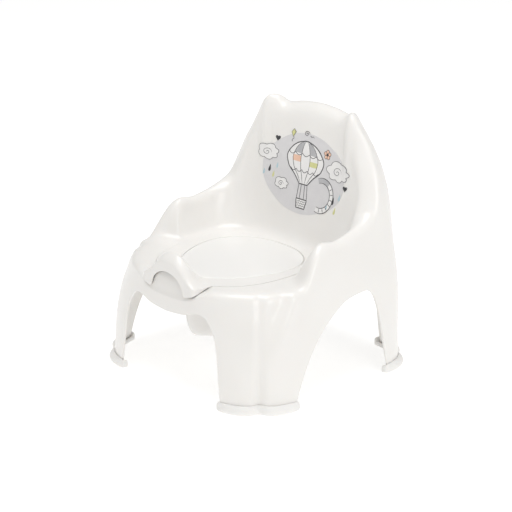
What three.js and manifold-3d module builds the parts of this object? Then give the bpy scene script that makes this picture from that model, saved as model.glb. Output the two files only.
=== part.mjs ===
// Potty training chair, in millimetres, +Z up, front towards -Y, origin on the floor under the middle.
// One moulded shell makes the legs, the seat deck, the arms and the backrest. A pot with a raised front
// hood lifts out of the deck, a lid closes its bowl, a printed panel lies on the backrest, and a
// rubber pad with two toes caps each foot.

import * as THREE from 'three';
import { mergeVertices } from 'three/addons/utils/BufferGeometryUtils.js';
import Module from 'manifold-3d';

const degree = Math.PI / 180;

// walls and clearances
const shellWall = 3;
const potWall = 2.6;
const lidWall = 2.4;
const gap = 0.3;

// seat and pot
const deckHeight = 147;
const flangeTop = deckHeight + 2 * gap + potWall;
const deckRise = 3;
const lidLedge = flangeTop - 2.3;
const potCentre = -10;
const potFloor = 60;
const bowlClearance = 10.5;
const hoodHeight = 187;
const hoodHalfAngle = 17.5;
const hoodFace = 145.5;
const hoodCrest = 131;
const slotHalfWidth = 29;
const slotTop = 165;
const slotSpring = 137;
const slotDepth = 9;

// lid
const lidFloor = lidLedge + gap;
const lidDome = 2.4;
const lidPlug = 7;

// pads
const padHeight = 15;
const padSole = 4.4;
const padLip = 2.6;
const toeBulge = 8.5;
const grooveDepth = 5;

// ridge down each front leg: the height and angle of its foot, its lean in degrees per mm, and its height
const ridgeBottom = 105;
const ridgeFoot = 57;
const ridgeLean = 0.2;
const ridgeLift = 2.6;

// scoop behind the finger slot
const scoopHeight = 21;
const scoopDepth = 7;

// printed panel on the backrest
const panelHeight = 243;
const panelHalfWidth = 76;
const panelHalfHeight = 55;
const panelThickness = 0.6;
const panelLift = 1.1;

// A smooth curve through [position, value] stations that never overshoots them.
function through(stations) {
  const count = stations.length;
  const slopes = [];
  for (let i = 0; i < count - 1; i += 1) {
    slopes.push((stations[i + 1][1] - stations[i][1]) / (stations[i + 1][0] - stations[i][0]));
  }
  const tangents = stations.map((station, i) => {
    const before = slopes[Math.max(i - 1, 0)];
    const after = slopes[Math.min(i, count - 2)];
    return before * after > 0 ? (2 * before * after) / (before + after) : 0;
  });
  return (position) => {
    const clamped = THREE.MathUtils.clamp(position, stations[0][0], stations[count - 1][0]);
    let i = 0;
    while (i < count - 2 && clamped > stations[i + 1][0]) {
      i += 1;
    }
    const span = stations[i + 1][0] - stations[i][0];
    const t = (clamped - stations[i][0]) / span;
    const rise = stations[i + 1][1] - stations[i][1];
    return stations[i][1] + rise * t * t * (3 - 2 * t)
      + span * t * (1 - t) * (tangents[i] * (1 - t) - tangents[i + 1] * t);
  };
}

// The outer skin of the shell by height: half width, depth to the front and to the rear, and how square
// its corners are in plan.
const skinHalfWidth = through([[0, 168], [55, 165], [105, 161], [142, 156], [195, 143], [218, 140],
  [240, 134], [265, 125], [290, 112], [313, 99], [327, 92], [339, 84]]);
const skinFront = through([[0, 160], [65, 158], [135, 156], [339, 150]]);
const skinRear = through([[0, 154.65], [155, 150], [255, 144], [325, 136], [339, 130]]);
const squareFront = through([[0, 3.7], [50, 3.6], [110, 2.9], [142, 2.4], [339, 2.4]]);
const squareRear = through([[0, 5], [155, 5.6], [255, 6.8], [290, 6.8], [315, 4.9], [339, 4]]);

// The inner skin, round the seat and up the backrest's face, by height.
const liningHalfWidth = through([[147, 104], [150, 106], [154, 111], [164, 116], [195, 126], [240, 131],
  [267, 125], [290, 115], [313, 104], [339, 92]]);
const liningRear = through([[147, 66], [150, 67], [154, 71], [164, 76], [205, 88], [244, 96], [325, 112],
  [339, 114]]);
const squareLining = through([[147, 2.5], [185, 3.6], [240, 7], [267, 5.5], [290, 4.2], [313, 3.2],
  [339, 2.8]]);
const liningFront = 134;

// Height of the rim and of the lower edge by angle from the front, in degrees.
const rimHeight = through([[0, 135], [11, 136], [15, 139], [21, 146], [27, 150.5], [40, 152], [57, 151],
  [67, 153], [71, 160], [75, 176], [79, 192], [85, 201], [95, 197], [104, 200], [115, 208], [122, 218],
  [126.2, 240], [129.7, 265], [134, 290], [137.5, 309], [140.5, 327], [145.5, 337], [151.5, 334],
  [156.5, 331], [168, 336], [180, 338]]);
const edgeHeight = through([[0, 110], [11, 113], [20.3, 120], [23.9, 117], [27.4, 104], [29.8, 84],
  [31, 52], [31.6, 5], [62.6, 5], [64.4, 24], [67.3, 47], [70.8, 67], [75.5, 86], [83.7, 107], [96.7, 124],
  [107.6, 126], [111.6, 117], [115.4, 64], [117.9, 5], [148, 5], [148.8, 52], [150, 85], [152.4, 105],
  [155.8, 117], [159.5, 121], [180, 123]]);
const faceTop = through([[134, 405], [134.1, 283], [141, 302], [150, 315], [160, 321], [180, 325]]);
const rimInset = through([[0, 6], [20, 6], [35, 11], [60, 11], [72, 10], [85, 11], [112, 11], [128, 8],
  [180, 8]]);
const rimDrop = through([[0, 4], [20, 4], [32, 8], [60, 9], [75, 10], [90, 12], [112, 12], [128, 8],
  [180, 8]]);

// Angles of the shell's stations round one half, closer together where the edges are steep.
const shellSpans = [[0, 20.3, 6], [20.3, 31.6, 6], [31.6, 62.6, 10], [62.6, 75, 4], [75, 105, 6],
  [105, 118, 5], [118, 148, 12], [148, 160, 5], [160, 180, 4]];
const footSpans = { front: [32.4, 61.8], rear: [118.8, 147.2] };

function oval(halfWidth, front, rear, centre, frontSquareness, rearSquareness) {
  return (x, y) => {
    const ahead = y < centre;
    const squareness = ahead ? frontSquareness : rearSquareness;
    return Math.abs(x / halfWidth) ** squareness
      + Math.abs((y - centre) / (ahead ? front : rear)) ** squareness;
  };
}

function reach(outline, angle, centre) {
  let inside = 0;
  let outside = 400;
  while (outside - inside > 1e-6) {
    const middle = (inside + outside) / 2;
    if (outline(middle * Math.sin(angle), centre - middle * Math.cos(angle)) < 1) {
      inside = middle;
    } else {
      outside = middle;
    }
  }
  return inside;
}

const bowlRim = oval(74, 112, 58, potCentre, 1.6, 2.2);
const bowlBase = oval(46, 105, 44, potCentre, 1.5, 2);
const deckHole = oval(74 + bowlClearance, 112 + bowlClearance, 58 + bowlClearance, potCentre, 1.6, 2.2);
const flange = oval(97, 125, 71, potCentre, 2.6, 2.4);

function foldAngle(angle) {
  const turns = Math.abs(angle) % 360;
  return turns > 180 ? 360 - turns : turns;
}

function place(angle, radius, z, centre = 0) {
  return new THREE.Vector3(
    radius * Math.sin(angle * degree),
    centre - radius * Math.cos(angle * degree),
    z,
  );
}

function bell(offset, width) {
  return Math.exp(-((offset / width) ** 2));
}

function nearestFoot(angle) {
  const spans = Object.values(footSpans);
  const middles = spans.map(([from, to]) => (from + to) / 2);
  return middles[Math.abs(angle - middles[0]) < Math.abs(angle - middles[1]) ? 0 : 1];
}

function skinRadius(angle, z) {
  const folded = foldAngle(angle);
  const front = folded < 90;
  const depth = front ? skinFront(z) : skinRear(z);
  const squareness = front ? squareFront(z) : squareRear(z);
  const across = Math.abs(Math.sin(folded * degree) / skinHalfWidth(z)) ** squareness;
  const along = Math.abs(Math.cos(folded * degree) / depth) ** squareness;
  const groove = grooveDepth * bell(folded - nearestFoot(folded), 4)
    * (1 - THREE.MathUtils.smoothstep(z, 25, 110));
  return (across + along) ** (-1 / squareness) - groove + armRidge(folded, z);
}

// The ridge that runs from the front of each arm down into the leg, with a valley on its leg side.
function armRidge(angle, z) {
  const middle = ridgeFoot + (z - ridgeBottom) * ridgeLean;
  const fade = THREE.MathUtils.smoothstep(z, ridgeBottom - 20, ridgeBottom + 15)
    * (1 - THREE.MathUtils.smoothstep(z, 170, 200));
  return ridgeLift * fade * (bell(angle - middle, 3) - bell(angle - middle + 6, 3.5));
}

function liningRadius(angle, z) {
  const depth = angle < 90 ? liningFront : liningRear(z);
  const across = Math.abs(Math.sin(angle * degree) / liningHalfWidth(z)) ** squareLining(z);
  const along = Math.abs(Math.cos(angle * degree) / depth) ** squareLining(z);
  return (across + along) ** (-1 / squareLining(z));
}

// One profile of the shell: the recess that the flange rests in, the seat, the lining, the rim, and the
// skin down to the lower edge. Under the hood the rim rises behind a lip, as a scoop for the fingers.
function shellProfile(angle) {
  const folded = foldAngle(angle);
  const scoop = 1 - THREE.MathUtils.smoothstep(folded, 8, 13);
  const lip = rimHeight(folded);
  const top = lip + scoopHeight * scoop;
  const drop = rimDrop(folded);
  const outer = skinRadius(folded, lip - drop);
  const ridge = outer - rimInset(folded) - scoopDepth * scoop;
  const hole = reach(deckHole, folded * degree, 0);
  const seat = deckHeight + deckRise * THREE.MathUtils.smoothstep(folded, 32, 42);
  const lining = (z) => Math.min(liningRadius(folded, z), ridge - 8);
  const crease = Math.max(Math.min(lining(seat), ridge - 8), hole + 2.4);
  const recess = Math.min(reach(flange, folded * degree, 0) + 1, crease - 1.6);
  const rise = top - seat;
  const shoulder = Math.min(top - (rise > 0 ? Math.min(8, rise / 2) : rise * 0.4), faceTop(folded));
  const points = [[hole, deckHeight], [recess, deckHeight], [recess + 0.8, seat], [crease, seat]];
  for (const part of [0.07, 0.2, 0.4, 0.7, 1]) {
    const z = seat + (shoulder - seat) * part;
    points.push([Math.max(lining(z), crease + part * (ridge - 8 - crease) * 0.5), z]);
  }
  points.push([ridge, top]);
  const brow = THREE.MathUtils.lerp((outer - ridge) * 0.28, 2.6, scoop);
  points.push([outer - brow, lip - drop * 0.36 * (1 - scoop)]);
  const edge = edgeHeight(folded);
  for (const part of [0, 0.12, 0.32, 0.6, 0.85, 1]) {
    const z = lip - drop + (edge - lip + drop) * part;
    points.push([skinRadius(folded, z), z]);
  }
  return points.map(([radius, z]) => place(angle, radius, z));
}

function mirroredAngles(spans) {
  const half = [];
  for (const [from, to, steps] of spans) {
    for (let i = 0; i < steps; i += 1) {
      half.push(from + ((to - from) * i) / steps);
    }
  }
  const last = spans[spans.length - 1][1];
  return [...half, last, ...half.slice(1).reverse().map((angle) => 360 - angle)];
}

// A closed body from rings of points; each ring joins the next. The last ring joins the first in a loop,
// and otherwise both ends are poles, or are closed by the end faces given.
function ringsToGeometry(rings, { loop = false, endFaces = [] } = {}) {
  const around = rings[0].length;
  const positions = rings.flat().flatMap((point) => [point.x, point.y, point.z]);
  const index = [...endFaces];
  const last = loop ? rings.length : rings.length - 1;
  for (let j = 0; j < last; j += 1) {
    const next = (j + 1) % rings.length;
    for (let i = 0; i < around; i += 1) {
      const side = (i + 1) % around;
      const [a, b] = [j * around + i, j * around + side];
      const [c, d] = [next * around + side, next * around + i];
      index.push(a, b, c, a, c, d);
    }
  }
  return tidyGeometry(positions, index);
}

function tidyGeometry(positions, index) {
  let geometry = new THREE.BufferGeometry();
  geometry.setAttribute('position', new THREE.Float32BufferAttribute(positions, 3));
  geometry.setIndex(index);
  geometry = mergeVertices(geometry, 1e-3);
  const kept = [];
  const all = geometry.index.array;
  for (let i = 0; i < all.length; i += 3) {
    const [a, b, c] = [all[i], all[i + 1], all[i + 2]];
    if (a !== b && b !== c && c !== a) {
      kept.push(a, b, c);
    }
  }
  geometry.setIndex(kept);
  return signedVolume(geometry) < 0 ? flipped(geometry) : geometry;
}

function signedVolume(geometry) {
  const position = geometry.attributes.position;
  const index = geometry.index.array;
  let sum = 0;
  for (let i = 0; i < index.length; i += 3) {
    const [a, b, c] = [0, 1, 2].map((k) => new THREE.Vector3().fromBufferAttribute(position, index[i + k]));
    sum += a.dot(b.cross(c)) / 6;
  }
  return sum;
}

function flipped(geometry) {
  const index = Array.from(geometry.index.array);
  for (let i = 0; i < index.length; i += 3) {
    [index[i], index[i + 1]] = [index[i + 1], index[i]];
  }
  geometry.setIndex(index);
  return geometry;
}

// The second face of a wall: the same rings moved square to the surface by the wall's thickness.
function offsetRings(rings, distance) {
  const around = rings[0].length;
  return rings.map((ring, j) => ring.map((point, i) => {
    const before = rings[Math.max(j - 1, 0)][i];
    const after = rings[Math.min(j + 1, rings.length - 1)][i];
    const left = ring[(i + around - 1) % around];
    const right = ring[(i + 1) % around];
    const normal = after.clone().sub(before).cross(right.clone().sub(left));
    if (normal.lengthSq() < 1e-9) {
      normal.set(0, 0, 1);
    }
    return point.clone().addScaledVector(normal.normalize(), -distance);
  }));
}

function ringsFromProfiles(profiles) {
  return profiles[0].map((unused, j) => profiles.map((profile) => profile[j]));
}

const wasm = await Module();
wasm.setup();

function toManifold(geometry) {
  const source = geometry.clone();
  source.deleteAttribute('normal');
  source.deleteAttribute('uv');
  const merged = mergeVertices(source, 1e-4);
  return new wasm.Manifold(new wasm.Mesh({
    numProp: 3,
    vertProperties: new Float32Array(merged.attributes.position.array),
    triVerts: new Uint32Array(merged.index.array),
  }));
}

function fromManifold(solid) {
  const mesh = solid.getMesh();
  const geometry = new THREE.BufferGeometry();
  geometry.setAttribute('position', new THREE.Float32BufferAttribute(mesh.vertProperties, 3));
  geometry.setIndex(new THREE.Uint32BufferAttribute(mesh.triVerts, 1));
  return geometry;
}

function chairShell() {
  const rings = ringsFromProfiles(mirroredAngles(shellSpans).map(shellProfile));
  const lining = offsetRings(rings, shellWall);
  return ringsToGeometry([...rings, ...lining.reverse()], { loop: true });
}

// How far the lid's edge stands out from the bowl's rim.
function lidReach(folded) {
  return 1 + 4.5 * THREE.MathUtils.smoothstep(folded, hoodHalfAngle, hoodHalfAngle + 20);
}

// The pot, from the middle of its floor, up the bowl, over the lid's ledge and the flange or the hood, and
// down to its edge.
function potProfile(angle) {
  const folded = foldAngle(angle);
  const radians = folded * degree;
  const rim = reach(bowlRim, radians, potCentre);
  const base = reach(bowlBase, radians, potCentre);
  const edge = reach(flange, radians, potCentre);
  const ledge = rim + lidReach(folded) + 0.7;
  const hood = 1 - THREE.MathUtils.smoothstep(folded, hoodHalfAngle, hoodHalfAngle + 7);
  const top = flangeTop + (hoodHeight - flangeTop) * bell(folded, 12.5) * hood;
  const crest = THREE.MathUtils.lerp(ledge + (edge - ledge) * 0.55, hoodCrest / Math.cos(radians), hood);
  const face = THREE.MathUtils.lerp(edge, hoodFace / Math.cos(radians), hood);
  const lowest = THREE.MathUtils.lerp(flangeTop, rimHeight(folded * 0.94) + 1.2, hood);
  const between = (share) => THREE.MathUtils.lerp(crest, face, share);
  return [
    [0, potFloor],
    [base * 0.82, potFloor],
    [base, potFloor + 6],
    [base + (rim - base) * 0.5, (potFloor + lidLedge) / 2],
    [rim - 1.5, lidLedge - 5],
    [rim, lidLedge],
    [ledge, lidLedge],
    [ledge + 0.6, THREE.MathUtils.lerp(flangeTop, top, 0.02)],
    [THREE.MathUtils.lerp(ledge, crest, 0.78), THREE.MathUtils.lerp(flangeTop, top, 0.78)],
    [crest, top],
    [between(0.45), THREE.MathUtils.lerp(flangeTop, top, 0.88)],
    [between(0.92), THREE.MathUtils.lerp(top, lowest, 0.6)],
    [face, lowest],
  ].map(([radius, z]) => place(angle, radius, z, potCentre));
}

function pot() {
  const spans = [[0, 26, 9], [26, 60, 5], [60, 120, 7], [120, 180, 6]];
  const rings = ringsFromProfiles(mirroredAngles(spans).map(potProfile));
  const outside = offsetRings(rings, potWall);
  const body = ringsToGeometry([...rings, ...outside.reverse()]);
  const arch = new THREE.Shape();
  arch.moveTo(-slotHalfWidth, slotSpring - 30);
  arch.lineTo(slotHalfWidth, slotSpring - 30);
  arch.absellipse(0, slotSpring, slotHalfWidth, slotTop - slotSpring, 0, Math.PI, false);
  const cutter = new THREE.ExtrudeGeometry(arch, { depth: 30, bevelEnabled: false, curveSegments: 10 });
  cutter.rotateX(Math.PI / 2);
  cutter.translate(0, potCentre - hoodFace + slotDepth, 0);
  return fromManifold(toManifold(body).subtract(toManifold(cutter)));
}

function lidProfile(angle) {
  const folded = foldAngle(angle);
  const rim = reach(bowlRim, folded * degree, potCentre);
  const edge = rim + lidReach(folded);
  const plug = rim - 5;
  return [
    [0, lidFloor + lidWall + lidDome],
    [edge * 0.55, lidFloor + lidWall + lidDome * 0.7],
    [edge - 4, lidFloor + lidWall],
    [edge, lidFloor + lidWall * 0.7],
    [edge - 0.3, lidFloor],
    [plug + 2, lidFloor],
    [plug, lidFloor - lidPlug],
    [plug - 2.4, lidFloor - lidPlug],
    [plug - 2.8, lidFloor],
    [edge * 0.5, lidFloor + lidDome * 0.7],
    [0, lidFloor + lidDome],
  ].map(([radius, z]) => place(angle, radius, z, potCentre));
}

function lid() {
  const spans = [[0, 60, 7], [60, 180, 12]];
  return ringsToGeometry(ringsFromProfiles(mirroredAngles(spans).map(lidProfile)));
}

// A pad is a channel under the foot, swept along the foot's outline with a toe at each side of the groove.
function padSection(angle) {
  const middle = nearestFoot(foldAngle(angle));
  const offset = foldAngle(angle) - middle;
  const toe = toeBulge * (bell(offset - 7.5, 6) + bell(offset + 7.5, 6));
  const outside = (z) => skinRadius(angle, z) + 0.7;
  const inside = (z) => skinRadius(angle, z) - shellWall * 1.3 - 1.2;
  return [
    [outside(0) + toe - 2, 0],
    [outside(0) + toe + 1.5, padHeight * 0.25],
    [outside(padHeight) + toe + 1, padHeight * 0.6],
    [outside(padHeight) + toe * 0.45 + 0.6, padHeight * 0.9],
    [outside(padHeight), padHeight],
    [outside(padSole), padSole],
    [inside(padSole), padSole],
    [inside(padSole), padSole + padLip],
    [inside(padSole) - padLip, padSole + padLip - 1],
    [inside(0) - padLip, 0],
  ];
}

// Triangles over a section, turned the way its outline runs.
function sectionFaces(section) {
  const outline = section.map(([radius, z]) => new THREE.Vector2(radius, z));
  const turn = Math.sign(THREE.ShapeUtils.area(outline));
  return THREE.ShapeUtils.triangulateShape(outline, []).flatMap((face) => {
    const corners = face.map((corner) => outline[corner]);
    return Math.sign(THREE.ShapeUtils.area(corners)) === turn ? face : [...face].reverse();
  });
}

function footPad([from, to], side) {
  const steps = 10;
  const angles = Array.from({ length: steps + 1 }, (unused, i) => side * (from + ((to - from) * i) / steps));
  const sections = angles.map(padSection);
  const rings = sections.map((section, j) => section.map(([radius, z]) => place(angles[j], radius, z)));
  const firstOfLast = steps * rings[0].length;
  const endFaces = [
    ...sectionFaces(sections[0]).reverse(),
    ...sectionFaces(sections[steps]).map((corner) => corner + firstOfLast),
  ];
  return ringsToGeometry(rings, { endFaces });
}

// The depth of a body's face as seen from the front, at a width and a height.
function depthOf(geometry) {
  const target = new THREE.Mesh(geometry, new THREE.MeshBasicMaterial());
  const backwards = new THREE.Vector3(0, 1, 0);
  return (x, z) => {
    const ray = new THREE.Raycaster(new THREE.Vector3(x, -200, z), backwards);
    return ray.intersectObject(target)[0].point.y;
  };
}

function printedPanel(shell) {
  const steps = 36;
  const backrestDepth = depthOf(shell);
  const ringAt = (share, lift) => {
    const ring = [];
    for (let i = 0; i < steps; i += 1) {
      const turn = (i / steps) * Math.PI * 2;
      const x = panelHalfWidth * share * Math.cos(turn);
      const z = panelHeight + panelHalfHeight * share * Math.sin(turn);
      ring.push(new THREE.Vector3(x, backrestDepth(x, z) - lift, z));
    }
    return ring;
  };
  const shares = [0, 0.35, 0.7, 1];
  const back = shares.map((share) => ringAt(share, panelLift));
  const front = shares.map((share) => ringAt(share, panelLift + panelThickness));
  return ringsToGeometry([...back, ...front.reverse()]);
}

const colours = {
  pearlWhite: { color: 0xf4f2ee, roughness: 0.28, metalness: 0 },
  lidWhite: { color: 0xf6f5f1, roughness: 0.3, metalness: 0 },
  rubberWhite: { color: 0xeae7e1, roughness: 0.6, metalness: 0 },
  printGrey: { color: 0xcfccca, roughness: 0.4, metalness: 0 },
};

const chair = new THREE.Group();

function addPiece(name, geometry, colour) {
  const flat = geometry.toNonIndexed();
  flat.computeVertexNormals();
  const mesh = new THREE.Mesh(flat, new THREE.MeshStandardMaterial(colours[colour]));
  mesh.name = name;
  chair.add(mesh);
}

const shell = chairShell();
addPiece('chair_shell', shell, 'pearlWhite');
addPiece('pot', pot(), 'pearlWhite');
addPiece('lid', lid(), 'lidWhite');
addPiece('backrest_print', printedPanel(shell), 'printGrey');
for (const [end, span] of Object.entries(footSpans)) {
  addPiece(`${end}_right_foot_pad`, footPad(span, 1), 'rubberWhite');
  addPiece(`${end}_left_foot_pad`, footPad(span, -1), 'rubberWhite');
}

export default chair;
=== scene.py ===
import math

import bpy
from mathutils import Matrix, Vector
from mathutils.bvhtree import BVHTree


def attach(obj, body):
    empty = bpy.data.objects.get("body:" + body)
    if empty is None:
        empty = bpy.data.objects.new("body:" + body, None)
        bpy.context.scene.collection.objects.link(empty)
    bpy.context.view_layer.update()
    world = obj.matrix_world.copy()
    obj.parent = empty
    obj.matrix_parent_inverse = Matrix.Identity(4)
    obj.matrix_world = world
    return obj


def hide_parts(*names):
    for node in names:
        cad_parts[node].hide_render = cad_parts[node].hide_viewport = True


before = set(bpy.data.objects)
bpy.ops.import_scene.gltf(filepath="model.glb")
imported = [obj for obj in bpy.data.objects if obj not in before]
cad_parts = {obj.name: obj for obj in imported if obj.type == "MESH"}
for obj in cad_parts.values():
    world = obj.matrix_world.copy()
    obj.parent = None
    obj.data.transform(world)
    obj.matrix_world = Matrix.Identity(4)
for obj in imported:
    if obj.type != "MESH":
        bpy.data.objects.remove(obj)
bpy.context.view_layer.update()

mm = 0.001


# helpers for cages, all sizes in millimetres until a mesh is made

def through(*stations):
    # a smooth curve through (position, value) stations that never overshoots them
    slopes = [(b[1] - a[1]) / (b[0] - a[0]) for a, b in zip(stations, stations[1:])]
    tangents = []
    for i in range(len(stations)):
        before, after = slopes[max(i - 1, 0)], slopes[min(i, len(slopes) - 1)]
        tangents.append(2 * before * after / (before + after) if before * after > 0 else 0)

    def curve(position):
        position = min(max(position, stations[0][0]), stations[-1][0])
        i = 0
        while i < len(slopes) - 1 and position > stations[i + 1][0]:
            i += 1
        start, end = stations[i], stations[i + 1]
        span = end[0] - start[0]
        t = (position - start[0]) / span
        ease = (end[1] - start[1]) * t * t * (3 - 2 * t)
        return start[1] + ease + span * t * (1 - t) * (tangents[i] * (1 - t) - tangents[i + 1] * t)

    return curve


def mix(a, b, share):
    return a + (b - a) * share


def smooth(value, start, end):
    t = min(max((value - start) / (end - start), 0), 1)
    return t * t * (3 - 2 * t)


def bell(offset, width):
    return math.exp(-((offset / width) ** 2))


def place(angle, radius, z, centre=0):
    # angle 0 is the front, 90 the right side and 180 the rear
    turn = math.radians(angle)
    return (radius * math.sin(turn), centre - radius * math.cos(turn), z)


def oval(halfWidth, front, rear, squareness):
    # distance from an oval's middle to its edge, in the direction of an angle
    def edge(angle):
        turn = math.radians(angle)
        depth, power = (front, squareness[0]) if abs(angle) < 90 else (rear, squareness[1])
        across = abs(math.sin(turn) / halfWidth) ** power + abs(math.cos(turn) / depth) ** power
        return across ** (-1 / power)

    return edge


def spread(*spans):
    # angles from (start, end, steps) spans, with the last end
    angles = []
    for start, end, steps in spans:
        angles += [start + (end - start) * i / steps for i in range(steps)]
    return angles + [spans[-1][1]]


def loft(rows, around=False, ends=False):
    # points and faces between rows of points; a row of one point is a pole
    points, faces, starts = [], [], []
    for row in rows:
        starts.append(len(points))
        points += row
    for (a, first), (b, second) in zip(zip(rows, starts), zip(rows[1:], starts[1:])):
        count = max(len(a), len(b))
        for i in range(count if around else count - 1):
            j = (i + 1) % count
            if len(a) == 1:
                faces.append((first, second + j, second + i))
            elif len(b) == 1:
                faces.append((first + i, first + j, second))
            else:
                faces.append((first + i, first + j, second + j, second + i))
    if ends:
        faces.append(tuple(starts[0] + i for i in reversed(range(len(rows[0])))))
        faces.append(tuple(starts[-1] + i for i in range(len(rows[-1]))))
    return points, faces


def makePiece(name, cage, body, material, flip=False):
    points, faces = cage
    mesh = bpy.data.meshes.new(name)
    if flip:
        faces = [tuple(reversed(face)) for face in faces]
    mesh.from_pydata([tuple(value * mm for value in point) for point in points], [], faces)
    mesh.validate()
    mesh.shade_smooth()
    piece = bpy.data.objects.new(name, mesh)
    bpy.context.scene.collection.objects.link(piece)
    mesh.materials.append(material)
    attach(piece, body)
    return piece


def mirrored(piece):
    stack = piece.modifiers.new("otherHalf", "MIRROR")
    stack.use_clip = True
    stack.merge_threshold = 0.0002


def walled(piece, thickness, offset=-1):
    stack = piece.modifiers.new("wall", "SOLIDIFY")
    stack.thickness = thickness * mm
    stack.offset = offset


def rounded(piece, levels):
    stack = piece.modifiers.new("rounding", "SUBSURF")
    stack.levels = stack.render_levels = levels


# materials

def newGroup(name, inputs, outputs):
    group = bpy.data.node_groups.new(name, "ShaderNodeTree")
    for label, kind, value in inputs:
        socket = group.interface.new_socket(label, in_out="INPUT", socket_type=kind)
        socket.default_value = value
    for label, kind in outputs:
        group.interface.new_socket(label, in_out="OUTPUT", socket_type=kind)
    return group


def addNode(tree, kind, at, values=None, **settings):
    node = tree.nodes.new(kind)
    node.location = at
    for key, value in settings.items():
        setattr(node, key, value)
    for key, value in (values or {}).items():
        node.inputs[key].default_value = value
    return node


def join(tree, *pairs):
    for output, target in pairs:
        tree.links.new(output, target)


def pearlFlowGroup():
    # slow swirls of pigment, as they freeze in a moulding, between two close colours
    group = newGroup(
        "pearlFlow",
        [("Base", "NodeSocketColor", (1, 1, 1, 1)), ("Tint", "NodeSocketColor", (1, 1, 1, 1)),
         ("Scale", "NodeSocketFloat", 12.0), ("Amount", "NodeSocketFloat", 0.5)],
        [("Color", "NodeSocketColor")],
    )
    source = addNode(group, "NodeGroupInput", (-900, 0))
    coordinates = addNode(group, "ShaderNodeTexCoord", (-900, -300))
    swirl = addNode(group, "ShaderNodeTexNoise", (-650, -100), {"Detail": 2.0, "Distortion": 0.5})
    speckle = addNode(group, "ShaderNodeTexNoise", (-650, -400), {"Scale": 900.0, "Detail": 1.0})
    swirlRange = addNode(group, "ShaderNodeMapRange", (-430, -100), {"From Min": 0.25, "From Max": 0.78})
    speckleRange = addNode(group, "ShaderNodeMapRange", (-430, -400),
                           {"From Min": 0.62, "From Max": 0.72, "To Max": 0.35})
    both = addNode(group, "ShaderNodeMath", (-230, -200), operation="ADD", use_clamp=True)
    share = addNode(group, "ShaderNodeMath", (-60, -200), operation="MULTIPLY")
    blend = addNode(group, "ShaderNodeMix", (120, 0), data_type="RGBA")
    result = addNode(group, "NodeGroupOutput", (320, 0))
    join(
        group,
        (coordinates.outputs["Object"], swirl.inputs["Vector"]),
        (coordinates.outputs["Object"], speckle.inputs["Vector"]),
        (source.outputs["Scale"], swirl.inputs["Scale"]),
        (swirl.outputs["Fac"], swirlRange.inputs["Value"]),
        (speckle.outputs["Fac"], speckleRange.inputs["Value"]),
        (swirlRange.outputs["Result"], both.inputs[0]),
        (speckleRange.outputs["Result"], both.inputs[1]),
        (both.outputs[0], share.inputs[0]),
        (source.outputs["Amount"], share.inputs[1]),
        (share.outputs[0], blend.inputs["Factor"]),
        (source.outputs["Base"], blend.inputs["A"]),
        (source.outputs["Tint"], blend.inputs["B"]),
        (blend.outputs["Result"], result.inputs["Color"]),
    )
    return group


def handlingGroup():
    # where hands and cloths have dulled the gloss: broad patches and a few hairline scratches
    group = newGroup(
        "handling",
        [("Glossy", "NodeSocketFloat", 0.25), ("Dull", "NodeSocketFloat", 0.4),
         ("Scale", "NodeSocketFloat", 18.0)],
        [("Roughness", "NodeSocketFloat"), ("Streaks", "NodeSocketFloat")],
    )
    source = addNode(group, "NodeGroupInput", (-1100, 0))
    coordinates = addNode(group, "ShaderNodeTexCoord", (-1100, -300))
    patches = addNode(group, "ShaderNodeTexNoise", (-800, 0), {"Detail": 2.0, "Roughness": 0.5})
    lines = addNode(group, "ShaderNodeTexVoronoi", (-800, -300), {"Scale": 45.0}, feature="DISTANCE_TO_EDGE")
    lineRange = addNode(group, "ShaderNodeMapRange", (-480, -300),
                        {"From Max": 0.012, "To Min": 0.5, "To Max": 0.0})
    patchRange = addNode(group, "ShaderNodeMapRange", (-480, 0), {"From Min": 0.2, "From Max": 0.8})
    rubbed = addNode(group, "ShaderNodeMath", (-280, -200), operation="MULTIPLY")
    either = addNode(group, "ShaderNodeMath", (-100, -100), {1: 0.5}, operation="MULTIPLY_ADD",
                     use_clamp=True)
    value = addNode(group, "ShaderNodeMix", (100, 0), data_type="FLOAT")
    result = addNode(group, "NodeGroupOutput", (320, 0))
    join(
        group,
        (coordinates.outputs["Object"], patches.inputs["Vector"]),
        (coordinates.outputs["Object"], lines.inputs["Vector"]),
        (source.outputs["Scale"], patches.inputs["Scale"]),
        (patches.outputs["Fac"], patchRange.inputs["Value"]),
        (lines.outputs["Distance"], lineRange.inputs["Value"]),
        (patchRange.outputs["Result"], rubbed.inputs[0]),
        (lineRange.outputs["Result"], rubbed.inputs[1]),
        (patchRange.outputs["Result"], either.inputs[0]),
        (rubbed.outputs[0], either.inputs[2]),
        (either.outputs[0], value.inputs["Factor"]),
        (source.outputs["Glossy"], value.inputs["A"]),
        (source.outputs["Dull"], value.inputs["B"]),
        (value.outputs["Result"], result.inputs["Roughness"]),
        (rubbed.outputs[0], result.inputs["Streaks"]),
    )
    return group


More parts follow.
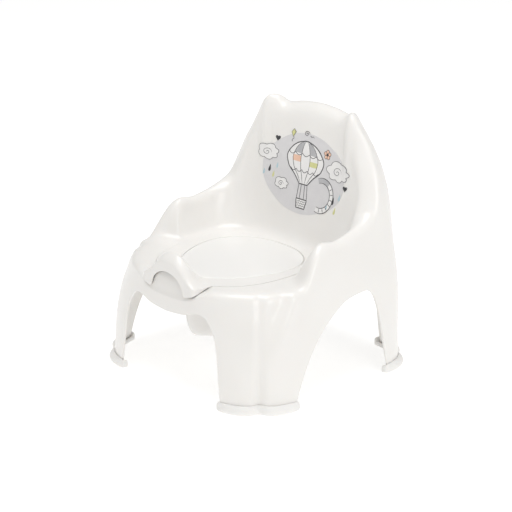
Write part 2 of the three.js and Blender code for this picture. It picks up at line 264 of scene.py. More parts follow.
def mouldGrainGroup():
    # the tool's fine spark texture over the faint waviness of a cooled wall
    group = newGroup(
        "mouldGrain",
        [("Grain Scale", "NodeSocketFloat", 1500.0), ("Grain Depth", "NodeSocketFloat", 0.2),
         ("Wave Scale", "NodeSocketFloat", 30.0), ("Wave Depth", "NodeSocketFloat", 0.2),
         ("Streaks", "NodeSocketFloat", 0.0)],
        [("Normal", "NodeSocketVector")],
    )
    source = addNode(group, "NodeGroupInput", (-900, 0))
    coordinates = addNode(group, "ShaderNodeTexCoord", (-900, -300))
    wave = addNode(group, "ShaderNodeTexNoise", (-650, 100), {"Detail": 1.0})
    grain = addNode(group, "ShaderNodeTexNoise", (-650, -200), {"Detail": 2.0, "Roughness": 0.6})
    waveBump = addNode(group, "ShaderNodeBump", (-350, 100), {"Distance": 0.0008})
    grainBump = addNode(group, "ShaderNodeBump", (-150, 0), {"Distance": 0.00006})
    streakBump = addNode(group, "ShaderNodeBump", (60, 0), {"Distance": 0.00003, "Strength": 0.3},
                         invert=True)
    result = addNode(group, "NodeGroupOutput", (280, 0))
    join(
        group,
        (coordinates.outputs["Object"], wave.inputs["Vector"]),
        (coordinates.outputs["Object"], grain.inputs["Vector"]),
        (source.outputs["Wave Scale"], wave.inputs["Scale"]),
        (source.outputs["Grain Scale"], grain.inputs["Scale"]),
        (source.outputs["Wave Depth"], waveBump.inputs["Strength"]),
        (source.outputs["Grain Depth"], grainBump.inputs["Strength"]),
        (wave.outputs["Fac"], waveBump.inputs["Height"]),
        (grain.outputs["Fac"], grainBump.inputs["Height"]),
        (waveBump.outputs["Normal"], grainBump.inputs["Normal"]),
        (grainBump.outputs["Normal"], streakBump.inputs["Normal"]),
        (source.outputs["Streaks"], streakBump.inputs["Height"]),
        (streakBump.outputs["Normal"], result.inputs["Normal"]),
    )
    return group


def edgeWearGroup():
    # lighter, duller plastic on edges that are knocked and rubbed
    group = newGroup(
        "edgeWear",
        [("Color", "NodeSocketColor", (1, 1, 1, 1)), ("Worn", "NodeSocketColor", (1, 1, 1, 1)),
         ("Roughness", "NodeSocketFloat", 0.3), ("Amount", "NodeSocketFloat", 0.5)],
        [("Color", "NodeSocketColor"), ("Roughness", "NodeSocketFloat")],
    )
    source = addNode(group, "NodeGroupInput", (-900, 0))
    geometry = addNode(group, "ShaderNodeNewGeometry", (-900, -300))
    coordinates = addNode(group, "ShaderNodeTexCoord", (-900, -600))
    breakUp = addNode(group, "ShaderNodeTexNoise", (-650, -600), {"Scale": 140.0, "Detail": 4.0})
    edges = addNode(group, "ShaderNodeMapRange", (-650, -300), {"From Min": 0.53, "From Max": 0.62})
    broken = addNode(group, "ShaderNodeMath", (-430, -400), operation="MULTIPLY")
    mask = addNode(group, "ShaderNodeMath", (-250, -300), operation="MULTIPLY", use_clamp=True)
    blend = addNode(group, "ShaderNodeMix", (0, 0), data_type="RGBA")
    dulled = addNode(group, "ShaderNodeMath", (0, -300), {1: 0.15}, operation="MULTIPLY_ADD")
    result = addNode(group, "NodeGroupOutput", (260, 0))
    join(
        group,
        (geometry.outputs["Pointiness"], edges.inputs["Value"]),
        (coordinates.outputs["Object"], breakUp.inputs["Vector"]),
        (edges.outputs["Result"], broken.inputs[0]),
        (breakUp.outputs["Fac"], broken.inputs[1]),
        (broken.outputs[0], mask.inputs[0]),
        (source.outputs["Amount"], mask.inputs[1]),
        (mask.outputs[0], blend.inputs["Factor"]),
        (source.outputs["Color"], blend.inputs["A"]),
        (source.outputs["Worn"], blend.inputs["B"]),
        (mask.outputs[0], dulled.inputs[0]),
        (source.outputs["Roughness"], dulled.inputs[2]),
        (blend.outputs["Result"], result.inputs["Color"]),
        (dulled.outputs[0], result.inputs["Roughness"]),
    )
    return group


effects = {
    "flow": pearlFlowGroup(),
    "handling": handlingGroup(),
    "grain": mouldGrainGroup(),
    "edges": edgeWearGroup(),
}


def placeGroup(tree, effect, at, values):
    node = addNode(tree, "ShaderNodeGroup", at)
    node.node_tree = effects[effect]
    for key, value in values.items():
        node.inputs[key].default_value = value
    return node


def plastic(name, look):
    # moulded plastic: pigment flow, rubbed patches, tool grain and worn edges
    material = bpy.data.materials.new(name)
    material.use_nodes = True
    tree = material.node_tree
    shader = tree.nodes["Principled BSDF"]
    for socket, value in look["shader"].items():
        shader.inputs[socket].default_value = value
    flow = placeGroup(tree, "flow", (-900, 200), look["flow"])
    handling = placeGroup(tree, "handling", (-900, -50), look["handling"])
    edges = placeGroup(tree, "edges", (-600, 150), look["edges"])
    grain = placeGroup(tree, "grain", (-600, -250), look["grain"])
    join(
        tree,
        (flow.outputs["Color"], edges.inputs["Color"]),
        (handling.outputs["Roughness"], edges.inputs["Roughness"]),
        (handling.outputs["Streaks"], grain.inputs["Streaks"]),
        (edges.outputs["Color"], shader.inputs["Base Color"]),
        (edges.outputs["Roughness"], shader.inputs["Roughness"]),
        (grain.outputs["Normal"], shader.inputs["Normal"]),
    )
    return material


pearlWhite = plastic("pearlWhitePlastic", {
    "shader": {"IOR": 1.49, "Coat Weight": 0.25, "Coat Roughness": 0.12, "Subsurface Weight": 0.08,
               "Subsurface Scale": 0.004, "Subsurface Radius": (1.0, 0.85, 0.7)},
    "flow": {"Base": (0.86, 0.845, 0.82, 1), "Tint": (0.81, 0.79, 0.76, 1), "Scale": 11.0, "Amount": 0.5},
    "handling": {"Glossy": 0.29, "Dull": 0.34, "Scale": 16.0},
    "edges": {"Worn": (0.9, 0.89, 0.87, 1), "Amount": 0.25},
    "grain": {"Grain Scale": 1400.0, "Grain Depth": 0.25, "Wave Scale": 26.0, "Wave Depth": 0.16},
})
lidWhite = plastic("lidWhitePlastic", {
    "shader": {"IOR": 1.49, "Coat Weight": 0.2, "Coat Roughness": 0.15, "Subsurface Weight": 0.08,
               "Subsurface Scale": 0.004, "Subsurface Radius": (1.0, 0.85, 0.7)},
    "flow": {"Base": (0.87, 0.86, 0.84, 1), "Tint": (0.83, 0.815, 0.79, 1), "Scale": 14.0, "Amount": 0.4},
    "handling": {"Glossy": 0.29, "Dull": 0.45, "Scale": 24.0},
    "edges": {"Worn": (0.9, 0.89, 0.87, 1), "Amount": 0.5},
    "grain": {"Grain Scale": 1200.0, "Grain Depth": 0.4, "Wave Scale": 34.0, "Wave Depth": 0.12},
})
padWhite = plastic("padRubber", {
    "shader": {"IOR": 1.5, "Subsurface Weight": 0.1, "Subsurface Scale": 0.003,
               "Subsurface Radius": (1.0, 0.85, 0.7)},
    "flow": {"Base": (0.87, 0.86, 0.84, 1), "Tint": (0.81, 0.795, 0.77, 1), "Scale": 40.0, "Amount": 0.5},
    "handling": {"Glossy": 0.5, "Dull": 0.68, "Scale": 60.0},
    "edges": {"Worn": (0.7, 0.68, 0.64, 1), "Amount": 0.4},
    "grain": {"Grain Scale": 900.0, "Grain Depth": 0.7, "Wave Scale": 60.0, "Wave Depth": 0.1},
})
print("materials ready")


# the moulded shell: seat deck, arms, legs and backrest in one wall

shell = {
    "wall": 3,
    "deck": 147,
    "deckRise": 3,
    "skinHalfWidth": through((0, 168), (55, 165), (105, 161), (142, 156), (195, 143), (218, 140), (240, 134),
                             (265, 125), (290, 112), (313, 99), (327, 92), (339, 84)),
    "skinFront": through((0, 160), (65, 158), (135, 156), (339, 150)),
    "skinRear": through((0, 154.65), (155, 150), (255, 144), (325, 136), (339, 130)),
    "squareFront": through((0, 3.7), (50, 3.6), (110, 2.9), (142, 2.4), (339, 2.4)),
    "squareRear": through((0, 5), (155, 5.6), (255, 6.8), (290, 6.8), (315, 4.9), (339, 4)),
    "liningHalfWidth": through((147, 104), (150, 106), (154, 111), (164, 116), (195, 126), (240, 131),
                               (267, 125), (290, 115), (313, 104), (339, 92)),
    "liningRear": through((147, 66), (150, 67), (154, 71), (164, 76), (205, 88), (244, 96), (325, 112),
                          (339, 114)),
    "squareLining": through((147, 2.5), (185, 3.4), (240, 5), (267, 4.4), (290, 3.8), (313, 3.1), (339, 2.8)),
    "liningFront": 134,
    "rim": through((0, 135), (11, 136), (15, 139), (21, 146), (27, 150.5), (40, 152), (57, 151), (67, 153),
                   (71, 160), (75, 176), (79, 192), (85, 201), (95, 197), (104, 200), (115, 208), (122, 218),
                   (126.2, 240), (129.7, 265), (134, 290), (137.5, 311), (140.5, 329), (145, 338),
                   (149.5, 336.5), (155.5, 327), (168, 332), (180, 334)),
    "edge": through((0, 110), (11, 113), (20.3, 120), (23.9, 117), (27.4, 104), (29.8, 84), (31, 52),
                    (31.6, 5), (62.6, 5), (64.4, 24), (67.3, 47), (70.8, 67), (75.5, 86), (83.7, 107),
                    (96.7, 124),
                    (107.6, 126), (111.6, 117), (115.4, 64), (117.9, 5), (148, 5), (148.8, 52), (150, 85),
                    (152.4, 105), (155.8, 117), (159.5, 121), (180, 123)),
    "faceTop": through((134, 405), (134.1, 283), (141, 302), (150, 315), (160, 321), (180, 325)),
    "rimInset": through((0, 6), (20, 6), (35, 11), (60, 11), (72, 10), (85, 11), (112, 11), (128, 10),
                        (145, 11), (156, 9), (180, 8)),
    "rimDrop": through((0, 4), (20, 4), (32, 8), (42, 9), (47, 12), (52, 9), (60, 9), (75, 10), (90, 12),
                       (112, 12), (128, 10), (145, 12), (156, 9), (180, 8)),
    "grooveDepth": 5,
    "flute": {"valley": 2.6, "ridge": 1.2},
    "footMiddles": (47.1, 133),
    "ridge": {"bottom": 95, "foot": 55, "lean": 0.18, "lift": 4.0},
    "scoop": {"height": 30, "depth": 0},
    "liningShares": (0.03, 0.08, 0.17, 0.3, 0.48, 0.68, 0.86, 1),
    "skinShares": (0, 0.06, 0.14, 0.25, 0.38, 0.52, 0.66, 0.8, 0.92, 0.985, 1),
}


def legRidge(angle, z):
    # the ridge that runs from the front of each arm down into the leg, and the valley beside it
    ridge = shell["ridge"]
    middle = ridge["foot"] + (z - ridge["bottom"]) * ridge["lean"]
    fade = smooth(z, ridge["bottom"] - 20, ridge["bottom"] + 15) * (1 - smooth(z, 170, 200))
    return ridge["lift"] * fade * (bell(angle - middle, 2.6) - bell(angle - middle + 5, 3))


def skinRadius(angle, z):
    # the outer skin, by angle and height
    depth, power = ((shell["skinFront"](z), shell["squareFront"](z)) if angle < 90
                    else (shell["skinRear"](z), shell["squareRear"](z)))
    turn = math.radians(angle)
    across = abs(math.sin(turn) / shell["skinHalfWidth"](z)) ** power
    along = abs(math.cos(turn) / depth) ** power
    middle = min(shell["footMiddles"], key=lambda foot: abs(angle - foot))
    offset, flute, low = angle - middle, shell["flute"], 1 - smooth(z, 25, 110)
    groove = shell["grooveDepth"] * bell(offset, 4) * low
    lines = flute["valley"] * bell(offset - 1, 1.6) - flute["ridge"] * bell(offset + 2, 1.6)
    groove += mix(0.6, 1, low) * lines
    return (across + along) ** (-1 / power) - groove + legRidge(angle, z)


def liningRadius(angle, z):
    depth = shell["liningFront"] if angle < 90 else shell["liningRear"](z)
    power = shell["squareLining"](z)
    turn = math.radians(angle)
    across = abs(math.sin(turn) / shell["liningHalfWidth"](z)) ** power
    along = abs(math.cos(turn) / depth) ** power
    return (across + along) ** (-1 / power)


# the pot, its hood and the lid share these outlines

pot = {
    "centre": -10,
    "wall": 2.6,
    "floor": 60,
    "flangeTop": 150.2,
    "ledge": 147.9,
    "rim": oval(74, 112, 58, (1.6, 2.2)),
    "base": oval(46, 105, 44, (1.5, 2)),
    "flange": oval(97, 125, 71, (2.6, 2.4)),
    "deckHole": oval(84.5, 122.5, 68.5, (1.6, 2.2)),
    "hoodTop": 187,
    "hoodHalfAngle": 17.5,
    "hoodFace": 145.5,
    "hoodCrest": 131,
    "slotHalfWidth": 31,
    "slotTop": 163,
    "slotSpring": 137,
}


def fromOrigin(edge, angle):
    # an oval about the pot's centre, measured from the origin instead
    low, high = 0, 400
    while high - low > 1e-4:
        radius = (low + high) / 2
        x, y, _ = place(angle, radius, 0)
        inside = math.hypot(x, y - pot["centre"]) < edge(math.degrees(math.atan2(x, pot["centre"] - y)))
        low, high = (radius, high) if inside else (low, radius)
    return low


def shellProfile(angle):
    # the recess for the flange, the seat, the lining, the rim and the skin down to the lower edge;
    # under the hood the rim rises behind a lip, as a scoop for the fingers
    scoop = 1 - smooth(angle, 9.5, 14.5)
    lip, drop = shell["rim"](angle), shell["rimDrop"](angle)
    top = lip + shell["scoop"]["height"] * scoop
    outer = skinRadius(angle, lip - drop)
    ridge = outer - shell["rimInset"](angle) - shell["scoop"]["depth"] * scoop
    hole = fromOrigin(pot["deckHole"], angle)
    seat = shell["deck"] + shell["deckRise"] * smooth(angle, 20.5, 24)

    def lining(z):
        return min(liningRadius(angle, z), ridge - 8)

    crease = max(lining(seat), hole + 2.4)
    flange = fromOrigin(pot["flange"], angle)
    if 23 < angle < 60:
        crease = max(crease, min(flange + 3, ridge - 4))
    recess = min(flange + 0.3, crease - 1.6)
    rise = top - seat
    shoulder = min(top - (min(8, rise / 2) if rise > 0 else rise * 0.4), shell["faceTop"](angle))
    deck = shell["deck"]
    points = [(hole, deck), (hole + 1, deck), (recess - 0.3, deck), (recess, deck + 0.3),
              (recess + 0.1, mix(deck, seat, 0.9)), (recess + 0.3, seat), (recess + 0.9, seat),
              (mix(recess + 0.9, crease, 0.6), seat)]
    for share in shell["liningShares"]:
        z = mix(seat, shoulder, share)
        points.append((max(lining(z), crease + share * (ridge - 8 - crease) * 0.5), z))
    brow = mix((outer - ridge) * 0.28, 2.6, scoop)
    points += [(mix(points[-1][0], ridge, 0.5), mix(shoulder, top, 0.75)), (ridge, top),
               (outer - brow, lip - drop * 0.36 * (1 - scoop))]
    for share in shell["skinShares"]:
        z = mix(lip - drop, shell["edge"](angle), share)
        points.append((skinRadius(angle, z), z))
    return [place(angle, radius, z) for radius, z in points]


shellAngles = spread((0, 20.3, 9), (20.3, 31.6, 9), (31.6, 42.5, 6), (42.5, 52, 12), (52, 62.6, 6),
                     (62.6, 75, 7), (75, 105, 9), (105, 118, 8), (118, 148, 18), (148, 160, 7), (160, 180, 6))
shellRows = [list(row) for row in zip(*[shellProfile(angle) for angle in shellAngles])]
shellPiece = makePiece("mouldedShell", loft(shellRows), "chair", pearlWhite, flip=True)
mirrored(shellPiece)
walled(shellPiece, shell["wall"])
rounded(shellPiece, 1)
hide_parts("chair_shell")
print("shell made")


def lidReach(angle):
    # how far the lid's edge stands out from the bowl's rim
    return 1 + 4.5 * smooth(angle, pot["hoodHalfAngle"], pot["hoodHalfAngle"] + 20)


def potProfile(angle):
    rim, base, edge = pot["rim"](angle), pot["base"](angle), pot["flange"](angle)
    flangeTop, ledgeTop, turn = pot["flangeTop"], pot["ledge"], math.radians(angle)
    ledge = rim + lidReach(angle) + 0.6
    hood = 1 - smooth(angle, pot["hoodHalfAngle"], pot["hoodHalfAngle"] + 7)
    top = flangeTop + (pot["hoodTop"] - flangeTop) * math.exp(-((angle / 13.5) ** 3)) * hood
    crest = mix(mix(ledge, edge, 0.55), pot["hoodCrest"] / math.cos(turn), hood)
    face = mix(edge, pot["hoodFace"] / math.cos(turn), hood)
    lowest = mix(flangeTop, shell["rim"](angle * 0.94) + 0.4, hood) - 2.4 * bell(angle - 20.5, 2.2)
    x = pot["hoodFace"] * math.tan(turn) if angle < 60 else pot["slotHalfWidth"] * 2
    if x < pot["slotHalfWidth"]:
        arch = math.sqrt(1 - (x / pot["slotHalfWidth"]) ** 2)
        lowest = max(lowest, pot["slotSpring"] + (pot["slotTop"] - pot["slotSpring"]) * arch)
    profile = [
        (base * 0.4, pot["floor"]),
        (base * 0.82, pot["floor"]),
        (base, pot["floor"] + 6),
        (mix(base, rim, 0.5), mix(pot["floor"], ledgeTop, 0.5)),
        (rim - 1.2, ledgeTop - 5),
        (rim - 0.2, ledgeTop - 0.8),
        (rim + 0.6, ledgeTop),
        (ledge - 0.4, ledgeTop),
        (ledge, ledgeTop + 0.4),
        (ledge + 0.3, flangeTop - 0.2),
        (ledge + 1.1, mix(flangeTop, top, 0.04)),
        (mix(ledge, crest, 0.5), mix(flangeTop, top, 0.48)),
        (mix(ledge, crest, 0.8), mix(flangeTop, top, 0.84)),
        (crest, top),
        (mix(crest, face, 0.4), mix(flangeTop, top, 0.93)),
    ]
    for share in (0.12, 0.3, 0.55, 0.8, 0.96, 1):
        z = mix(mix(flangeTop, top, 0.8), lowest, share)
        profile.append((mix(mix(crest, face, 0.78), face, math.sqrt(share)), z))
    return [place(angle, radius, z, pot["centre"]) for radius, z in profile]


potAngles = spread((0, 9, 6), (9, 13, 8), (13, 26, 12), (26, 60, 8), (60, 120, 9), (120, 180, 8))
potRows = [[place(0, 0, pot["floor"], pot["centre"])]]
potRows += [list(row) for row in zip(*[potProfile(angle) for angle in potAngles])]
potPiece = makePiece("potWithHood", loft(potRows), "pot", pearlWhite, flip=True)
mirrored(potPiece)
walled(potPiece, pot["wall"])
rounded(potPiece, 2)
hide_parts("pot")
print("pot made")


lid = {"floor": 148.2, "wall": 2.4, "dome": 2.4, "plug": 7}


def lidProfile(angle):
    rim = pot["rim"](angle)
    edge, plug = rim + lidReach(angle), rim - 5
    floor, wall, dome = lid["floor"], lid["wall"], lid["dome"]
    top, foot = floor + wall, floor - lid["plug"]
    profile = [
        (edge * 0.12, top + dome * 0.99), (edge * 0.35, top + dome * 0.9), (edge * 0.6, top + dome * 0.66),
        (edge * 0.82, top + dome * 0.28), (edge - 5, top), (edge - 1.6, top - 0.3), (edge - 0.3, top - 0.9),
        (edge, top - 1.6), (edge - 0.2, floor + 0.2), (edge - 1.4, floor), (plug + 2.4, floor),
        (plug + 0.4, floor - 1), (plug, foot + 1), (plug - 0.6, foot), (plug - 2, foot),
        (plug - 2.4, foot + 1),
        (plug - 2.8, floor - 0.6), (plug - 5, floor), (edge * 0.5, floor + dome * 0.7),
        (edge * 0.12, floor + dome * 0.99),
    ]
    return [place(angle, radius, z, pot["centre"]) for radius, z in profile]


lidAngles = spread((0, 60, 9), (60, 180, 15))
lidRows = [list(row) for row in zip(*[lidProfile(angle) for angle in lidAngles])]
lidRows.insert(0, [place(0, 0, lid["floor"] + lid["wall"] + lid["dome"], pot["centre"])])
lidRows.append([place(0, 0, lid["floor"] + lid["dome"], pot["centre"])])
lidPiece = makePiece("bowlLid", loft(lidRows), "lid", lidWhite, flip=True)
mirrored(lidPiece)
rounded(lidPiece, 2)
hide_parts("lid")
print("lid made")


# foot pads, each a channel under the foot with two round toes and closed ends

pads = {
    "height": 13.5,
    "sole": 4.4,
    "lip": 2.6,
    "toe": 7.2,
    "toeOffset": 7.5,
    "toeHalfWidth": 8.4,
    "spans": {"front": (31.6, 63.2), "rear": (117.7, 148.3)},
    "ends": ((0, 1, 0), (0.5, 1, 0.14), (0.9, 1, 0.36), (1.1, 1, 0.66)),
    "heights": (0, 0.08, 0.24, 0.46, 0.68, 0.86, 0.96, 1),
    "bulges": (0.3, 0.66, 0.93, 1, 0.9, 0.62, 0.28, -0.16),
}


def padSection(angle, middle, filled, shrunk):
    # filled closes the channel and shrunk draws the section in, both at the pad's ends
    offset = abs(angle - middle) - pads["toeOffset"]
    toe = pads["toe"] * math.sqrt(max(1 - (offset / pads["toeHalfWidth"]) ** 2, 0.04)) ** 1.2
    sole, lip, top = pads["sole"], pads["lip"], pads["height"]

    def outside(z):
        return skinRadius(angle, z) + 0.5

    def inside(z):
        return skinRadius(angle, z) - shell["wall"] * 1.3 - 1.2

    section = [(outside(z * top) + toe * bulge, z * top) for z, bulge in zip(pads["heights"], pads["bulges"])]
    channel = [
        (outside(sole + 1), sole + 1), (outside(sole) - 1, sole), (inside(sole) + 1, sole),
        (inside(sole + 1), sole + 1), (inside(sole + lip), sole + lip),
        (inside(sole + lip) - lip, sole + lip - 1), (inside(0) - lip - 0.3, 1), (inside(0) - lip + 0.4, 0),
    ]
    for i, (radius, z) in enumerate(channel):
        section.append((radius, mix(z, top - i * 0.5, filled) if i < 6 else z))
    centre = (outside(0) + toe * 0.3, top * 0.42)
    return [(mix(radius, centre[0], shrunk), mix(z, centre[1], shrunk)) for radius, z in section]


def footPad(end, side):
    start, stop = pads["spans"][end]
    middle = shell["footMiddles"][0 if end == "front" else 1]
    rounds = pads["ends"]
    stations = [(start - reach, filled, shrunk) for reach, filled, shrunk in reversed(rounds)]
    stations += [(angle, 0, 0) for angle in spread((start + 0.9, middle, 10), (middle, stop - 0.9, 10))]
    stations += [(stop + reach, filled, shrunk) for reach, filled, shrunk in rounds]
    rows = []
    for angle, filled, shrunk in stations:
        section = padSection(angle, middle, filled, shrunk)
        rows.append([place(angle * side, radius, z) for radius, z in section])
    name = end + ("Right" if side > 0 else "Left") + "FootPad"
    piece = makePiece(name, loft(rows, around=True, ends=True), "chair", padWhite,
                      flip=side < 0)
    rounded(piece, 2)
    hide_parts(f"{end}_{'right' if side > 0 else 'left'}_foot_pad")


for end in pads["spans"]:
    for side in (1, -1):
        footPad(end, side)
print("foot pads made")


# the print on the backrest: a balloon, clouds and rain, laid on the face as thin films

artwork = {
    "height": 240,
    "embed": 0.1,
    "inks": {
        "ground": {"film": 0.25, "colour": (0.66, 0.65, 0.66), "tint": (0.72, 0.71, 0.715)},
        "fill": {"film": 0.38, "colour": (0.86, 0.85, 0.84), "tint": (0.80, 0.79, 0.785)},
        "shade": {"film": 0.45, "colour": (0.42, 0.42, 0.435), "tint": (0.52, 0.52, 0.53)},
        "peach": {"film": 0.45, "colour": (0.80, 0.48, 0.34), "tint": (0.84, 0.58, 0.45)},
        "green": {"film": 0.45, "colour": (0.62, 0.62, 0.25), "tint": (0.70, 0.70, 0.38)},
        "blue": {"film": 0.45, "colour": (0.42, 0.58, 0.64), "tint": (0.52, 0.66, 0.70)},
        "line": {"film": 0.52, "colour": (0.03, 0.03, 0.035), "tint": (0.07, 0.07, 0.075)},
    },
    "ribbon": {"middle": (37, -22), "reach": (19, 20), "sweep": (-1.9, 2.0)},
    "cloudLine": 0.55,
    "boldLine": 1.0,
}


def circle(across, up, width, height, lobes=0, scallop=0, turn=0, steps=72):
    # an oval, or a cloud where lobes are given
    outline = []
    for i in range(steps):
        t = 2 * math.pi * i / steps
        uneven = t + 0.3 * math.sin(t + turn) if lobes else t
        swell = 1 + scallop * (abs(math.sin(lobes * uneven / 2 + turn)) - 0.6)
        outline.append((across + width * swell * math.cos(t), up + height * swell * math.sin(t)))
    return outline


def spiral(across, up, size, turns=1.6, steps=26):
    return [(across + size * (1 - i / steps) * math.cos(turns * 2 * math.pi * i / steps),
             up + size * 0.8 * (1 - i / steps) * math.sin(turns * 2 * math.pi * i / steps))
            for i in range(steps + 1)]


def heart(across, up, size, steps=36):
    outline = []
    for i in range(steps):
        t = 2 * math.pi * i / steps
        x = 16 * math.sin(t) ** 3
        y = 13 * math.cos(t) - 5 * math.cos(2 * t) - 2 * math.cos(3 * t) - math.cos(4 * t)
        outline.append((across + size * x / 16, up + size * (y + 2) / 16))
    return outline


def drop(across, up, size, lean=0.2, steps=24):
    outline = []
    for i in range(steps):
        t = 2 * math.pi * i / steps
        y = math.cos(t)
        x = math.sin(t) * 0.32 * (1 - y) ** 0.8
        outline.append((across + size * (x + lean * y), up + size * y))
    return outline


def patch(outline, rings=5):
    # a filled shape as rings about its middle
    middle = [sum(values) / len(outline) for values in zip(*outline)]
    rows = [[tuple(middle)]]
    for ring in range(1, rings + 1):
        rows.append([(mix(middle[0], x, ring / rings), mix(middle[1], y, ring / rings)) for x, y in outline])
    return loft(rows, around=True)


def stroke(path, width, closed=False, taper=0.35):
    # a pen line along a path, thinner at its open ends
    count = len(path)
    left, right = [], []
    for i, (x, y) in enumerate(path):
        before = path[i - 1] if i or closed else path[i]
        after = path[(i + 1) % count] if i < count - 1 or closed else path[i]
        dx, dy = after[0] - before[0], after[1] - before[1]
        length = math.hypot(dx, dy) or 1
        ends = 1 if closed else mix(taper, 1, min(math.sin(math.pi * i / (count - 1)) * 2.2, 1))
        half = width / 2 * ends
        left.append((x - dy / length * half, y + dx / length * half))
        right.append((x + dy / length * half, y - dx / length * half))
    if closed:
        left.append(left[0])
        right.append(right[0])
    return loft([left, right])


def band(low, high):
    return loft([low, [(mix(a[0], b[0], 0.5), mix(a[1], b[1], 0.5)) for a, b in zip(low, high)], high])


balloon = {
    "top": 43,
    "mouth": -14,
    "halfWidth": through((0, 3), (0.06, 15), (0.22, 27.5), (0.42, 34), (0.62, 30), (0.82, 17), (1, 7.5)),
    "middle": -2,
    "seams": (-1, -0.68, -0.25, 0.25, 0.68, 1),
    "basket": (3, -40, 9.5, 6),
}


def seam(share, start=0, stop=1, steps=30):
    # one seam of the balloon, from its crown to its mouth
    path = []
    for i in range(steps + 1):
        part = mix(start, stop, i / steps)
        middle = balloon["middle"] + part * 4
        across = middle + share * balloon["halfWidth"](part)
        path.append((across, mix(balloon["top"], balloon["mouth"], part)))
    return path


def drawing():
    # every shape by the ink that prints it
    shapes = {ink: [] for ink in artwork["inks"]}
    bold, thin = artwork["boldLine"], artwork["cloudLine"]
    shapes["ground"].append(patch(circle(1, 0, 76, 53, lobes=5, scallop=0.03, steps=120), rings=24))
    for across, up, width, height, lobes, turn in ((-69, 18, 17, 10.5, 6, 0.3), (62, 15, 20.5, 12.5, 7, 0.8),
                                                   (-38, -20, 12, 7.5, 6, 0.5)):
        cloud = circle(across, up, width, height, lobes=lobes, scallop=0.22, turn=turn, steps=84)
        shapes["fill"].append(patch(cloud))
        shapes["line"].append(stroke(cloud, thin, closed=True))
        shapes["line"].append(stroke(spiral(across - width * 0.1, up - height * 0.1, width * 0.42), thin))
    body = seam(-1) + list(reversed(seam(1)))
    shapes["fill"].append(band(seam(-1), seam(1)))
    for left, right in ((-0.68, -0.25), (0.25, 0.68)):
        shapes["shade"].append(band(seam(left, 0.03, 0.3), seam(right, 0.03, 0.3)))
    shapes["peach"].append(band(seam(-0.68, 0.36, 0.5), seam(-0.25, 0.36, 0.5)))
    shapes["green"].append(band(seam(0.25, 0.44, 0.56), seam(0.68, 0.44, 0.56)))
    shapes["line"].append(stroke(body, bold * 1.25, closed=True))
    for share in balloon["seams"][1:-1]:
        shapes["line"].append(stroke(seam(share, 0.02, 0.98), bold * 0.7))
    for part in (0.32, 0.7):
        wave = []
        for i in range(61):
            share = mix(-1, 1, i / 60)
            x, y = seam(share, part, part + 0.001, 1)[0]
            wave.append((x, y - 3.2 * abs(math.sin(i * math.pi / 12)) + 1.5))
        shapes["line"].append(stroke(wave, bold * 0.75, taper=0.8))
    across, up, halfWidth, halfHeight = balloon["basket"]
    for share in (-1, -0.4, 0.4, 1):
        start = seam(share, 0.98, 1, 1)[1]
        shapes["line"].append(stroke([(mix(start[0], across + share * halfWidth, i / 8),
                                       mix(start[1], up + halfHeight, i / 8)) for i in range(9)], bold * 0.6))
    corners = [(across + halfWidth * (1 - 0.18 * smooth(i, 0, 10)), up + halfHeight - i * halfHeight / 5)
               for i in range(11)]
    basket = corners + [(2 * across - x, y) for x, y in reversed(corners)]
    shapes["fill"].append(band(corners, [(2 * across - x, y) for x, y in corners]))
    shapes["line"].append(stroke(basket, bold * 1.2, closed=True))
    for row in range(1, 4):
        y = up + halfHeight - row * 3
        shapes["line"].append(stroke([(across + mix(-0.85, 0.85, i / 24) * halfWidth,
                                       y + 0.7 * math.sin(i * 0.9 + row)) for i in range(25)], bold * 0.5))
    (x0, y0), reach, sweep = (artwork["ribbon"][key] for key in ("middle", "reach", "sweep"))
    turns = [mix(*sweep, i / 33) for i in range(34)]
    ribbon = [(x0 + reach[0] * math.cos(t), y0 + reach[1] * math.sin(t)) for t in turns]
    shapes["shade"].append(stroke(ribbon[24:], 6.5, taper=0.7))
    shapes["fill"].append(stroke(ribbon[:25], 6.5, taper=0.7))
    for share in (0.83, 1.17):
        side = [(mix(x0, x, share), mix(y0, y, share)) for x, y in ribbon]
        shapes["line"].append(stroke(side, bold * 0.8))
    for i in range(3, 24, 3):
        (x, y), (ahead, above) = ribbon[i], ribbon[i + 1]
        length = math.hypot(ahead - x, above - y)
        nx, ny = (above - y) / length * 3, -(ahead - x) / length * 3
        shapes["line"].append(stroke([(x - nx, y - ny), (x, y), (x + nx, y + ny)], bold * 0.9))
    for across, up, size in ((-55, 38, 4.2), (79, -4, 3.8)):
        shapes["line"].append(patch(heart(across, up, size)))
    for i, (across, up, size) in enumerate(((-63, -4, 5), (-72, -10, 4), (-55, -11, 4.5), (-50, 2, 4),
                                            (60, -24, 5), (71, -17, 4.5), (66, -36, 4.5), (50, -34, 3.5))):
        shapes[("line", "blue", "green", "blue")[i % 4]].append(patch(drop(across, up, size, lean=0.1)))
    for petal in range(5):
        turn = 2 * math.pi * petal / 5 + 0.3
        leaf = circle(38 + 4 * math.cos(turn), 33 + 4 * math.sin(turn), 2.5, 2.5, steps=24)
        shapes["peach"].append(patch(leaf))
        shapes["line"].append(stroke(leaf, thin, closed=True))
    shapes["line"].append(patch(circle(38, 33, 1.3, 1.3, steps=18)))
    shapes["line"].append(stroke(spiral(-4, 53, 5, turns=1.7), bold * 0.6))
    shapes["line"].append(stroke([(2 + i, 50.5 + 0.8 * math.sin(i * 1.4)) for i in range(9)], bold * 0.5))
    kite = [(-32, 51), (-28.5, 55.5), (-24.5, 52), (-28.5, 45)]
    shapes["green"].append(patch(kite))
    shapes["line"].append(stroke(kite, bold * 0.6, closed=True))
    tail = [(-28.5 + 1.6 * math.sin(i * 0.8), 45 - i * 0.8) for i in range(9)]
    shapes["line"].append(stroke(tail, bold * 0.5))
    return shapes


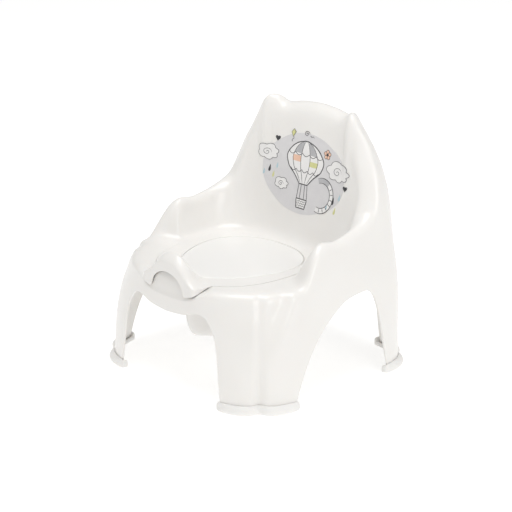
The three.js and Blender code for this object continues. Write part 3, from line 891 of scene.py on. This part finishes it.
def inkMaterial(ink):
    look = artwork["inks"][ink]
    return plastic("ink" + ink.capitalize(), {
        "shader": {"IOR": 1.45},
        "flow": {"Base": (*look["colour"], 1), "Tint": (*look["tint"], 1), "Scale": 55.0, "Amount": 0.8},
        "handling": {"Glossy": 0.36, "Dull": 0.5, "Scale": 30.0},
        "edges": {"Worn": (*look["tint"], 1), "Amount": 0.3},
        "grain": {"Grain Scale": 1800.0, "Grain Depth": 0.3, "Wave Scale": 40.0, "Wave Depth": 0.08},
    })


def printBackrest():
    graph = bpy.context.evaluated_depsgraph_get()
    face = BVHTree.FromObject(shellPiece, graph)

    def onFace(across, up, film):
        x, z = across * mm, (artwork["height"] + up) * mm
        y = face.ray_cast(Vector((x, -0.2, z)), Vector((0, 1, 0)))[0].y
        return (across, y / mm - film, z / mm)

    for ink, shapes in drawing().items():
        points, faces = [], []
        for flat, flatFaces in shapes:
            faces += [tuple(corner + len(points) for corner in corners) for corners in flatFaces]
            points += flat
        film = artwork["inks"][ink]["film"]
        raised = [onFace(across, up, film) for across, up in points]
        name = "print" + ink.capitalize()
        piece = makePiece(name, (raised, faces), "chair", inkMaterial(ink))
        facing(piece.data)
        piece.data.shade_flat()
        walled(piece, film + artwork["embed"])
        if ink == "ground":
            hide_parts("backrest_print")


def facing(mesh):
    # turns every face of the films towards the seat
    for polygon in mesh.polygons:
        if polygon.normal.y > 0:
            polygon.flip()
    mesh.update()


printBackrest()
print("print made")


# floor, light and camera

def studio():
    mesh = bpy.data.meshes.new("paleFloor")
    half = 60.0
    corners = [(-half, -half, 0), (half, -half, 0), (half, half, 0), (-half, half, 0)]
    mesh.from_pydata(corners, [], [(0, 1, 2, 3)])
    floor = bpy.data.objects.new("paleFloor", mesh)
    bpy.context.scene.collection.objects.link(floor)
    material = bpy.data.materials.new("paleFloor")
    material.use_nodes = True
    shader = material.node_tree.nodes["Principled BSDF"]
    for socket, value in {"Base Color": (0.62, 0.62, 0.62, 1), "Roughness": 0.9, "Specular IOR Level": 0.1,
                          "Emission Color": (1, 0.998, 0.992, 1), "Emission Strength": 0.62}.items():
        shader.inputs[socket].default_value = value  # the floor glows a little, so shadows stay faint
    mesh.materials.append(material)

    world = bpy.data.worlds.new("softRoom")
    world.use_nodes = True
    background = world.node_tree.nodes["Background"]
    background.inputs["Color"].default_value = (1.0, 0.995, 0.985, 1)
    background.inputs["Strength"].default_value = 0.56
    bpy.context.scene.world = world

    lamps = {
        "overhead": ((0.1, -0.15, 1.9), 1.1, 15.5),
        "rightKey": ((1.6, -0.3, 0.9), 0.7, 4.4),
    }
    for name, (at, size, power) in lamps.items():
        light = bpy.data.lights.new(name, "AREA")
        light.shape = "SQUARE"
        light.size = size
        light.energy = power
        lamp = bpy.data.objects.new(name, light)
        lamp.location = at
        lamp.rotation_euler = (Vector((0, 0, 0.15)) - Vector(at)).to_track_quat("-Z", "Y").to_euler()
        bpy.context.scene.collection.objects.link(lamp)


def setCamera():
    shot = {"azimuth": 45.557, "elevation": 19.851, "target": (33.25, -28.1, 161), "distance": 2111,
            "lens": 113.4}
    turn, lift = math.radians(shot["azimuth"]), math.radians(shot["elevation"])
    back = Vector((math.sin(turn) * math.cos(lift), -math.cos(turn) * math.cos(lift), math.sin(lift)))
    camera = bpy.data.objects.new("camera", bpy.data.cameras.new("camera"))
    camera.data.lens = shot["lens"]
    camera.data.sensor_width = 36
    camera.location = (Vector(shot["target"]) + back * shot["distance"]) * mm
    camera.rotation_euler = back.to_track_quat("Z", "Y").to_euler()
    bpy.context.scene.collection.objects.link(camera)
    bpy.context.scene.camera = camera


studio()
setCamera()
bpy.context.scene.view_settings.view_transform = "Standard"
print("studio ready")
